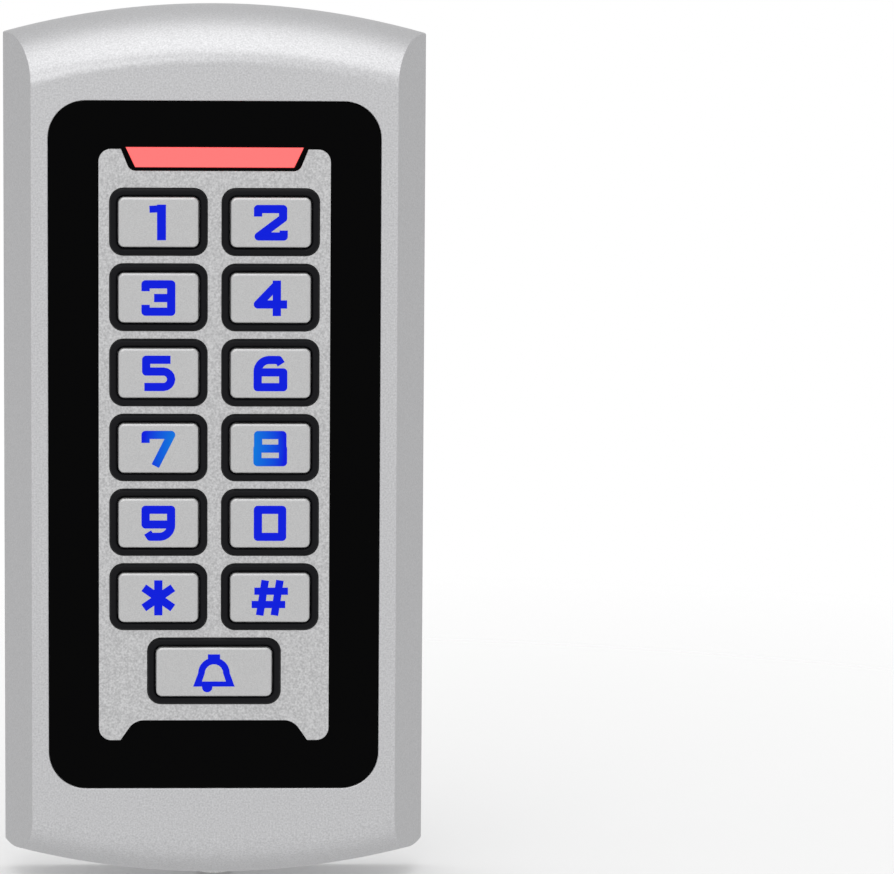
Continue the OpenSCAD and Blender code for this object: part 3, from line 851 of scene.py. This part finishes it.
dress(wall_plate, steel_silver)
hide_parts("back_plate")
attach(wall_plate, "reader")
print("wall plate:", len(wall_plate.data.polygons), "faces")

# %% [markdown]
# ## The wiring label
# A thin film with rounded corners. The print on it stays generic: rows of open frames the
# size of letters, and plain marks below them.

# %% Label film
label_film = finish("label_film", (0.72, 0.78, 0.85), 0.45)
vary_colour(label_film, speckle(label_film, 3.0), (0.71, 0.77, 0.84), (0.735, 0.795, 0.865))
lift(label_film, speckle(label_film, 0.8), 0.004, 0.2)
label = slab("wiring_label", label_w, label_h, label_corner, level_of("rear_label", 0),
             label_recess, (0, label_up), steps=10)
soften(label, 0.03, steps=2)
dress(label, label_film)
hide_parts("rear_label")
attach(label, "reader")

# %% Label print
print_ink = finish("label_ink", (0.012, 0.012, 0.018), 0.5)
vary_roughness(print_ink, speckle(print_ink, 0.3), 0.42, 0.58)
ink_back, ink_front = 0.006, 0.03
column_lefts = (27.8, 15.0, -0.9, -17.3)
word_lengths = ((6, 4, 6, 3), (6, 4, 3, 5), (2, 5, 2, 4), (2, 5, 3, 6), (4, 6, 2, 6))
first_row_drop, row_drop, letter_pitch = 2.95, 5.0, 1.5
letter_w, first_letter_h, letter_h, letter_wall = 1.15, 2.0, 1.5, 0.32
label_top = label_up + label_h / 2


def block(width, height, x, z):
    """One flat block of ink. Seen from behind, left is towards +x."""
    return slab("ink", width, height, 0.2, ink_back, ink_front, (x, z), steps=2)


def frame_mark(width, height, wall, x, z):
    """A plain mark: a block with an open middle."""
    return combine(block(width, height, x, z),
                   [slab("way", width - 2 * wall, height - 2 * wall, wall / 3, ink_back - 1,
                         ink_front + 1, (x, z), steps=2)])


def word(letters, left, foot):
    """A row of open frames, the first one taller, all standing on one line."""
    heights = [first_letter_h] + [letter_h] * (letters - 1)
    return [frame_mark(letter_w, height, letter_wall, left - letter_pitch * (place + 0.5),
                       foot + height / 2)
            for place, height in enumerate(heights)]


ink = []
for row, lengths in enumerate(word_lengths):
    foot = label_top - first_row_drop - row_drop * row - first_letter_h / 2
    for left, letters in zip(column_lefts, lengths):
        ink += word(letters, left, foot)

# %% Label marks
marks_up = label_top - 30.4
square_x, wide_x, pair_x, bars_x, bar_pitch = 25.4, 13.7, 2.1, -18, 4.3
ink += [frame_mark(3.6, 3.4, 0.5, square_x, marks_up + 1), block(4.2, 0.8, square_x, marks_up - 2.3)]
ink += [frame_mark(7.2, 5.4, 1.1, wide_x, marks_up)]
ink += [frame_mark(3.3, 5.2, 0.9, side * pair_x, marks_up) for side in (-1, 1)]
ink += [block(3.2, 5.4, bars_x + bar_pitch * (place - 1.5), marks_up) for place in range(4)]
make_active(ink[0])
for part in ink:
    part.select_set(True)
bpy.ops.object.join()
ink_piece = name_piece(bpy.context.object, "label_print")
dress(ink_piece, print_ink)
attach(ink_piece, "reader")
print("label print:", len(ink_piece.data.polygons), "faces")

# %% [markdown]
# ## The security screw
# It closes the case from below. The head is round, with a soft edge and a six-sided recess.

# %% Security screw
head_r, head_h, head_round = 2.7, 1.3, 0.2
recess_r, recess_depth = 1.2, 0.7
thread_r, thread_len, thread_lap = 1.45, 4.3, 0.3
head_face = -body_h / 2 + 0.1

screw = upright("lock_screw", head_r, head_face, head_face + head_h, 64)
combine(screw, [upright("recess", recess_r, head_face - 1, head_face + recess_depth, 6)])
soften(screw, head_round, steps=3)
combine(screw, [upright("thread", thread_r, head_face + head_h - thread_lap,
                        head_face + head_h + thread_len, 32)], "UNION")
smooth(screw)
steel_bright = silver("screw_steel", grey(0.45), grey(0.6), 0.28, grain=0.15, depth=0.002, metallic=1)
dress(screw, steel_bright)
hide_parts("security_screw")
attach(screw, "reader")

# %% [markdown]
# ## Finishes for the parts inside
# These parts, and the blue inlays in the caps, keep the frame's own shape. Little of the
# inside shows, through the cable hole and the slots, but each part has its own finish.

# %% Inner finishes
def moulded(name, dark, light, roughness, grain=0.2, depth=0.004, metallic=0.0):
    material = finish(name, light, roughness, metallic)
    fine = speckle(material, grain)
    vary_colour(material, fine, dark, light)
    lift(material, fine, depth)
    return material


inner_finishes = {
    moulded("silicone_clear", grey(0.62, 0.03), grey(0.72, 0.03), 0.5): ["keypad_mat"],
    moulded("coil_copper", (0.55, 0.20, 0.08), (0.75, 0.32, 0.14), 0.35, 0.1, 0.01, 0.9):
        ["antenna_coil"],
    moulded("board_green", (0.003, 0.035, 0.02), (0.005, 0.06, 0.03), 0.4, 0.6): ["circuit_board"],
    moulded("contact_carbon", grey(0.015), grey(0.03), 0.6, 0.05): ["key_contacts"],
    moulded("lamp_clear", (0.6, 0.66, 0.8), (0.75, 0.8, 0.92), 0.2): ["backlight_leds"],
    moulded("lamp_warm", (0.8, 0.72, 0.6), (0.9, 0.82, 0.7), 0.2): ["status_leds"],
    moulded("chip_black", grey(0.012), grey(0.022), 0.5, 0.08): ["microcontroller", "reader_chip"],
    moulded("relay_blue", (0.01, 0.05, 0.30), (0.015, 0.07, 0.36), 0.35): ["relay"],
    moulded("buzzer_black", grey(0.01), grey(0.02), 0.45): ["buzzer"],
    moulded("can_aluminium", grey(0.6), grey(0.75), 0.3, 0.1, 0.002, 1.0): ["capacitor"],
    moulded("header_nylon", (0.70, 0.66, 0.52), (0.80, 0.76, 0.62), 0.45): ["wire_header"],
    moulded("pin_gold", (0.75, 0.52, 0.18), (0.88, 0.65, 0.26), 0.25, 0.1, 0.002, 1.0):
        ["header_pins"],
    moulded("sensor_window", (0.006, 0.004, 0.008), (0.012, 0.008, 0.014), 0.15):
        ["tamper_sensor"],
    moulded("screw_zinc", grey(0.5), grey(0.65), 0.32, 0.1, 0.003, 1.0):
        ["board_screws", "cover_screws"],
    moulded("cover_black", grey(0.002), grey(0.004), 0.6, 0.3): ["inner_cover"],
    moulded("sleeve_brass", (0.26, 0.20, 0.09), (0.36, 0.28, 0.13), 0.25, 0.1, 0.002, 1.0):
        ["cable_eyelet"],
    moulded("gasket_rubber", grey(0.008), grey(0.015), 0.8, 0.15): ["rear_gasket"],
    legend_blue: ["legend_" + name for name in key_names],
}
for material, nodes in inner_finishes.items():
    for node in nodes:
        dress(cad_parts[node], material)
print("finished:", sum(len(nodes) for nodes in inner_finishes.values()), "parts of the frame")

# %% [markdown]
# ## Floor finish
# The floor fades out away from the reader, so it meets the pale backdrop without a line.

# %% Floor finish
floor_fade = 0.34
floor_pale = finish("floor_pale", grey(0.9), 0.6)
floor_output = floor_pale.node_tree.nodes["Material Output"]
around = add_node(floor_pale, "ShaderNodeTexCoord")
scaled = add_node(floor_pale, "ShaderNodeMapping", Scale=(1 / floor_fade,) * 3)
centre = add_node(floor_pale, "ShaderNodeTexGradient")
centre.gradient_type = "SPHERICAL"
clear = add_node(floor_pale, "ShaderNodeBsdfTransparent")
blend = add_node(floor_pale, "ShaderNodeMixShader")
link(floor_pale, around.outputs["Object"], scaled.inputs["Vector"])
link(floor_pale, scaled.outputs["Vector"], centre.inputs["Vector"])
link(floor_pale, centre.outputs["Fac"], blend.inputs["Fac"])
link(floor_pale, clear.outputs["BSDF"], blend.inputs[1])
link(floor_pale, shader_of(floor_pale).outputs["BSDF"], blend.inputs[2])
link(floor_pale, blend.outputs["Shader"], floor_output.inputs["Surface"])
dress(floor, floor_pale)

# %% The last line: nothing left selected
deselect()
